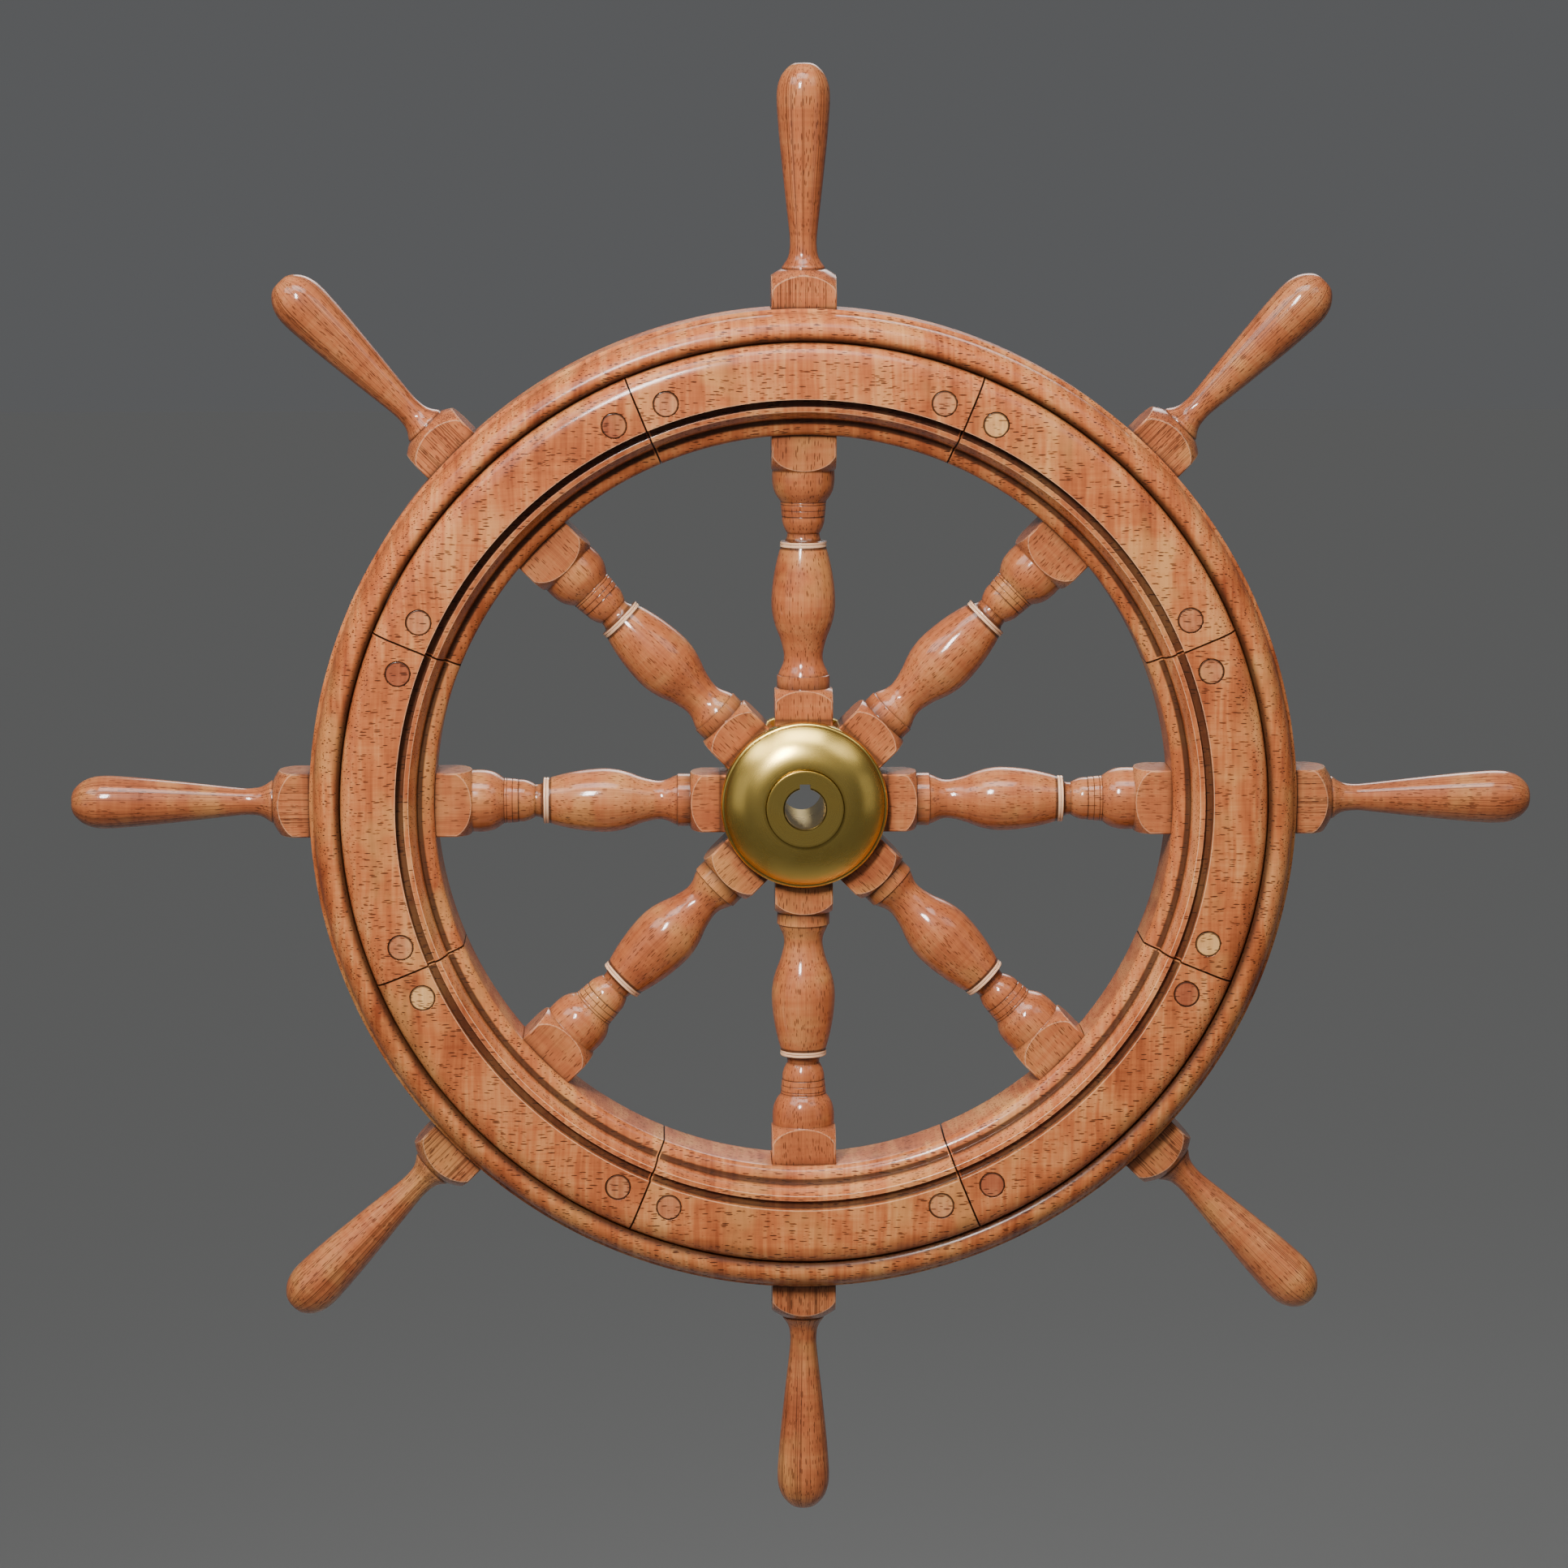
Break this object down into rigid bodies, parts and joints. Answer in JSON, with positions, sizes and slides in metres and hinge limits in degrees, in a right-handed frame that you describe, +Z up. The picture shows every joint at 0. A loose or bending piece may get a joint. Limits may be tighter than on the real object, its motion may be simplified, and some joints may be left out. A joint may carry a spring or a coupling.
{
  "type": "ship steering wheel",
  "caption": "Wooden ship's steering wheel: turned spokes with handles, moulded rim of pinned felloes between hoops, and a domed brass hub with a keyed shaft bore.",
  "frame": {"origin": "centre of the keyed shaft bore, on its axis, halfway between the hub's two faces and level with the middle of the spokes", "axes": "+Y along the shaft, from the wheel's front towards its rear, so the front faces -Y; +Z up along the king spoke; +X to the right as seen from the front"},
  "size_m": [0.9144, 0.0922, 0.9144],
  "materials": {
    "felloe_wood": "gloss varnish over reddish-brown mahogany, open pores, light edges",
    "hoop_wood": "gloss varnish over laminated reddish-brown mahogany",
    "spoke_wood": "gloss varnish over turned mahogany, dark pores along the spoke",
    "dowel_wood": "varnished, mixed tints, end grain showing",
    "tenon_wood": "plain planed hardwood, hidden in the joints",
    "hub_brass": "satin cast and turned brass, slightly aged",
    "screw_brass": "satin brass, slotted heads"
  },
  "bodies": {
    "root": {"felloe_1": "felloe_wood", "felloe_2": "felloe_wood", "felloe_3": "felloe_wood", "felloe_4": "felloe_wood", "felloe_5": "felloe_wood", "felloe_6": "felloe_wood", "felloe_7": "felloe_wood", "felloe_8": "felloe_wood", "hoop_front": "hoop_wood", "hoop_rear": "hoop_wood", "hub_body": "hub_brass", "hub_front_plate": "hub_brass", "hub_screw_1": "screw_brass", "hub_screw_2": "screw_brass", "hub_screw_3": "screw_brass", "hub_screw_4": "screw_brass", "hub_screw_5": "screw_brass", "hub_screw_6": "screw_brass", "hub_screw_7": "screw_brass", "hub_screw_8": "screw_brass", "rim_dowel_1": "dowel_wood", "rim_dowel_10": "dowel_wood", "rim_dowel_11": "dowel_wood", "rim_dowel_12": "dowel_wood", "rim_dowel_13": "dowel_wood", "rim_dowel_14": "dowel_wood", "rim_dowel_15": "dowel_wood", "rim_dowel_16": "dowel_wood", "rim_dowel_2": "dowel_wood", "rim_dowel_3": "dowel_wood", "rim_dowel_4": "dowel_wood", "rim_dowel_5": "dowel_wood", "rim_dowel_6": "dowel_wood", "rim_dowel_7": "dowel_wood", "rim_dowel_8": "dowel_wood", "rim_dowel_9": "dowel_wood", "rim_tenon_1": "tenon_wood", "rim_tenon_2": "tenon_wood", "rim_tenon_3": "tenon_wood", "rim_tenon_4": "tenon_wood", "rim_tenon_5": "tenon_wood", "rim_tenon_6": "tenon_wood", "rim_tenon_7": "tenon_wood", "rim_tenon_8": "tenon_wood", "spoke_1": "spoke_wood", "spoke_2": "spoke_wood", "spoke_3": "spoke_wood", "spoke_4": "spoke_wood", "spoke_5": "spoke_wood", "spoke_6": "spoke_wood", "spoke_7": "spoke_wood", "spoke_8": "spoke_wood"}
  },
  "joints": []
}
